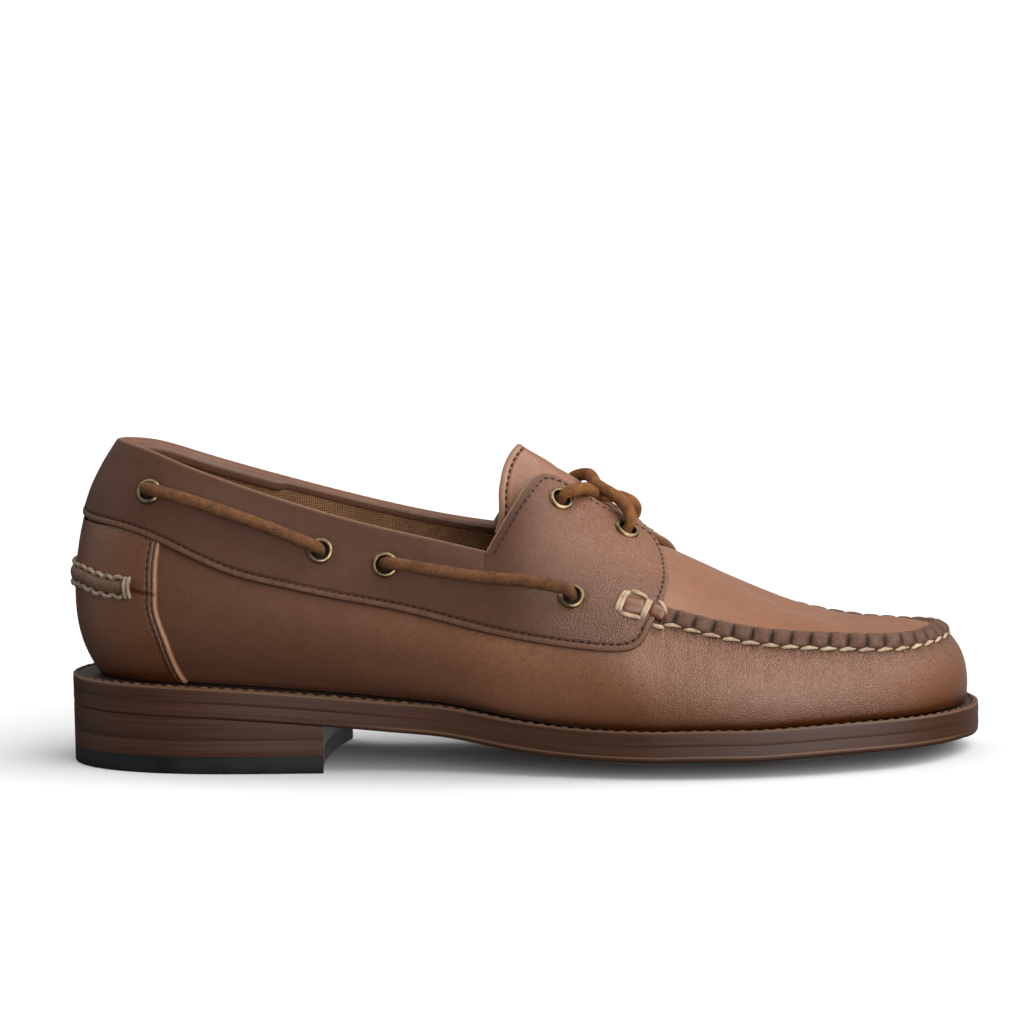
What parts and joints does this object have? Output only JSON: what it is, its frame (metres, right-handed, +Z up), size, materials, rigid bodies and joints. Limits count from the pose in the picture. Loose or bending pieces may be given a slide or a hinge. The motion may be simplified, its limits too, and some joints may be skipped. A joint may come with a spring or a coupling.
{
  "type": "laced moccasin-toe loafer",
  "caption": "Right-foot laced loafer with a moccasin toe, a raised collar band with rawhide laces through brass eyelets, and a leather sole on a stacked heel.",
  "frame": {"origin": "middle of the shoe's footprint box, on the floor it stands on", "axes": "+X towards the toe, +Y towards the inner (medial) side of the foot, +Z up"},
  "size_m": [0.3016, 0.1002, 0.1083],
  "materials": {
    "rubber": "matt black moulded rubber",
    "sole_edge": "dark burnished leather edge with fine level streaks",
    "sock": "plain tan lining leather",
    "wall": "warm brown leather, fine grain, satin wax",
    "counter": "brown leather with a folded edge, satin wax",
    "band": "darker brown leather, satin wax",
    "plug": "lighter tan leather, satin wax",
    "lace": "rawhide with a napped surface",
    "brass": "antique, softly worn"
  },
  "bodies": {
    "root": {"top_lift": "rubber", "heel_lift_lower": "sole_edge", "heel_lift_upper": "sole_edge", "outsole": "sole_edge", "midsole": "sole_edge", "insole": "sock", "upper": "wall", "plug": "plug", "moc_roll": "wall", "heel_counter": "counter", "collar_band": "band", "tongue": "plug", "throat_lace": "lace", "side_lace_outer_rear": "lace", "side_lace_outer_front": "lace", "eyelet_outer_side_1": "brass", "eyelet_outer_side_2": "brass", "eyelet_outer_side_3": "brass", "eyelet_outer_side_4": "brass", "eyelet_outer_wing_rear": "brass", "eyelet_outer_wing_front": "brass", "side_lace_inner_rear": "lace", "side_lace_inner_front": "lace", "eyelet_inner_side_1": "brass", "eyelet_inner_side_2": "brass", "eyelet_inner_side_3": "brass", "eyelet_inner_side_4": "brass", "eyelet_inner_wing_rear": "brass", "eyelet_inner_wing_front": "brass"}
  },
  "joints": []
}
